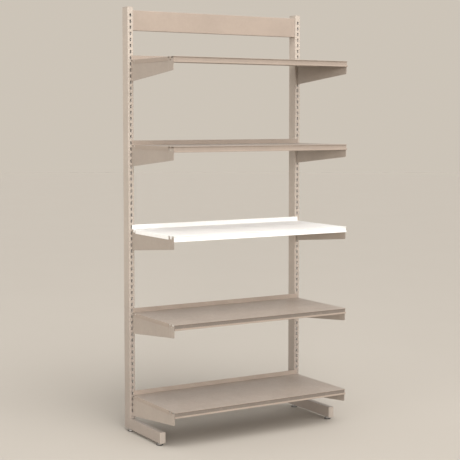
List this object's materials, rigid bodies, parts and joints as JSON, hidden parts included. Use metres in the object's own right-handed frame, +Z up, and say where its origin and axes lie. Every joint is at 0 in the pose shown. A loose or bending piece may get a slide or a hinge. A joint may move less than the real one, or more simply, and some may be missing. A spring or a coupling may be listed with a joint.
{
  "type": "gondola shelving unit",
  "caption": "Single-sided open-back wall shelving: slotted uprights on floor legs, a top tie rail, and steel shelves with ticket-channel fronts on hook-in brackets.",
  "frame": {"origin": "on the floor, under the middle of the unit's overall width and depth", "axes": "+Z up, the shelves and legs reach towards -Y, +X to the right seen from the front"},
  "size_m": [1.034, 0.5114, 2.13],
  "materials": {
    "frame_paint": "satin light warm grey powder coat",
    "shelf_paint": "satin light warm grey powder coat",
    "bright_shelf_paint": "satin white powder coat",
    "cap_plastic": "fine-textured polyethylene",
    "glide_metal": "zinc-plated steel",
    "rubber": "matt black",
    "zinc": "bright zinc plate"
  },
  "bodies": {
    "frame": {"upright_left": "frame_paint", "upright_cap_left": "cap_plastic", "base_leg_left": "frame_paint", "leg_front_cap_left": "cap_plastic", "leg_rear_cap_left": "cap_plastic", "leg_spigot_left": "frame_paint", "rail_end_plate_left": "frame_paint", "upright_right": "frame_paint", "upright_cap_right": "cap_plastic", "base_leg_right": "frame_paint", "leg_front_cap_right": "cap_plastic", "leg_rear_cap_right": "cap_plastic", "leg_spigot_right": "frame_paint", "rail_end_plate_right": "frame_paint", "leveller_jam_nuts": "zinc", "leveller_inserts": "zinc", "base_bolts": "zinc", "base_weld_nuts": "zinc", "rail_bolts": "zinc", "rail_rivet_nuts": "zinc", "top_rail": "frame_paint"},
    "leveller_front_left": {"leveller_front_left": "glide_metal", "leveller_pad_front_left": "rubber"},
    "leveller_rear_left": {"leveller_rear_left": "glide_metal", "leveller_pad_rear_left": "rubber"},
    "leveller_front_right": {"leveller_front_right": "glide_metal", "leveller_pad_front_right": "rubber"},
    "leveller_rear_right": {"leveller_rear_right": "glide_metal", "leveller_pad_rear_right": "rubber"},
    "bracket_left_1": {"bracket_left_1": "frame_paint"},
    "bracket_right_1": {"bracket_right_1": "frame_paint"},
    "shelf_1": {"shelf_1": "shelf_paint", "shelf_stiffener_1": "shelf_paint"},
    "bracket_left_2": {"bracket_left_2": "frame_paint"},
    "bracket_right_2": {"bracket_right_2": "frame_paint"},
    "shelf_2": {"shelf_2": "shelf_paint", "shelf_stiffener_2": "shelf_paint"},
    "bracket_left_3": {"bracket_left_3": "frame_paint"},
    "bracket_right_3": {"bracket_right_3": "frame_paint"},
    "shelf_3": {"shelf_3": "bright_shelf_paint", "shelf_stiffener_3": "bright_shelf_paint"},
    "bracket_left_4": {"bracket_left_4": "frame_paint"},
    "bracket_right_4": {"bracket_right_4": "frame_paint"},
    "shelf_4": {"shelf_4": "shelf_paint", "shelf_stiffener_4": "shelf_paint"},
    "bracket_left_5": {"bracket_left_5": "frame_paint"},
    "bracket_right_5": {"bracket_right_5": "frame_paint"},
    "shelf_5": {"shelf_5": "shelf_paint", "shelf_stiffener_5": "shelf_paint"}
  },
  "joints": [
    {"name": "leveller_front_left_height", "type": "slide", "parent": "frame", "child": "leveller_front_left", "axis": [0, 0, -1], "range_m": [0, 0.02]},
    {"name": "leveller_rear_left_height", "type": "slide", "parent": "frame", "child": "leveller_rear_left", "axis": [0, 0, -1], "range_m": [0, 0.02]},
    {"name": "leveller_front_right_height", "type": "slide", "parent": "frame", "child": "leveller_front_right", "axis": [0, 0, -1], "range_m": [0, 0.02]},
    {"name": "leveller_rear_right_height", "type": "slide", "parent": "frame", "child": "leveller_rear_right", "axis": [0, 0, -1], "range_m": [0, 0.02]},
    {"name": "bracket_left_1_unhook", "type": "slide", "parent": "frame", "child": "bracket_left_1", "axis": [0, 0, 1], "range_m": [0, 0.0055]},
    {"name": "bracket_right_1_unhook", "type": "slide", "parent": "frame", "child": "bracket_right_1", "axis": [0, 0, 1], "range_m": [0, 0.0055]},
    {"name": "shelf_1_lift", "type": "slide", "parent": "bracket_left_1", "child": "shelf_1", "axis": [0, 0, 1], "range_m": [0, 0.06]},
    {"name": "bracket_left_2_unhook", "type": "slide", "parent": "frame", "child": "bracket_left_2", "axis": [0, 0, 1], "range_m": [0, 0.0055]},
    {"name": "bracket_right_2_unhook", "type": "slide", "parent": "frame", "child": "bracket_right_2", "axis": [0, 0, 1], "range_m": [0, 0.0055]},
    {"name": "shelf_2_lift", "type": "slide", "parent": "bracket_left_2", "child": "shelf_2", "axis": [0, 0, 1], "range_m": [0, 0.06]},
    {"name": "bracket_left_3_unhook", "type": "slide", "parent": "frame", "child": "bracket_left_3", "axis": [0, 0, 1], "range_m": [0, 0.0055]},
    {"name": "bracket_right_3_unhook", "type": "slide", "parent": "frame", "child": "bracket_right_3", "axis": [0, 0, 1], "range_m": [0, 0.0055]},
    {"name": "shelf_3_lift", "type": "slide", "parent": "bracket_left_3", "child": "shelf_3", "axis": [0, 0, 1], "range_m": [0, 0.06]},
    {"name": "bracket_left_4_unhook", "type": "slide", "parent": "frame", "child": "bracket_left_4", "axis": [0, 0, 1], "range_m": [0, 0.0055]},
    {"name": "bracket_right_4_unhook", "type": "slide", "parent": "frame", "child": "bracket_right_4", "axis": [0, 0, 1], "range_m": [0, 0.0055]},
    {"name": "shelf_4_lift", "type": "slide", "parent": "bracket_left_4", "child": "shelf_4", "axis": [0, 0, 1], "range_m": [0, 0.06]},
    {"name": "bracket_left_5_unhook", "type": "slide", "parent": "frame", "child": "bracket_left_5", "axis": [0, 0, 1], "range_m": [0, 0.0055]},
    {"name": "bracket_right_5_unhook", "type": "slide", "parent": "frame", "child": "bracket_right_5", "axis": [0, 0, 1], "range_m": [0, 0.0055]},
    {"name": "shelf_5_lift", "type": "slide", "parent": "bracket_left_5", "child": "shelf_5", "axis": [0, 0, 1], "range_m": [0, 0.06]}
  ],
  "couplings": [
    {"joint": "bracket_right_1_unhook", "follows": "bracket_left_1_unhook", "ratio": 1},
    {"joint": "bracket_right_2_unhook", "follows": "bracket_left_2_unhook", "ratio": 1},
    {"joint": "bracket_right_3_unhook", "follows": "bracket_left_3_unhook", "ratio": 1},
    {"joint": "bracket_right_4_unhook", "follows": "bracket_left_4_unhook", "ratio": 1},
    {"joint": "bracket_right_5_unhook", "follows": "bracket_left_5_unhook", "ratio": 1}
  ]
}
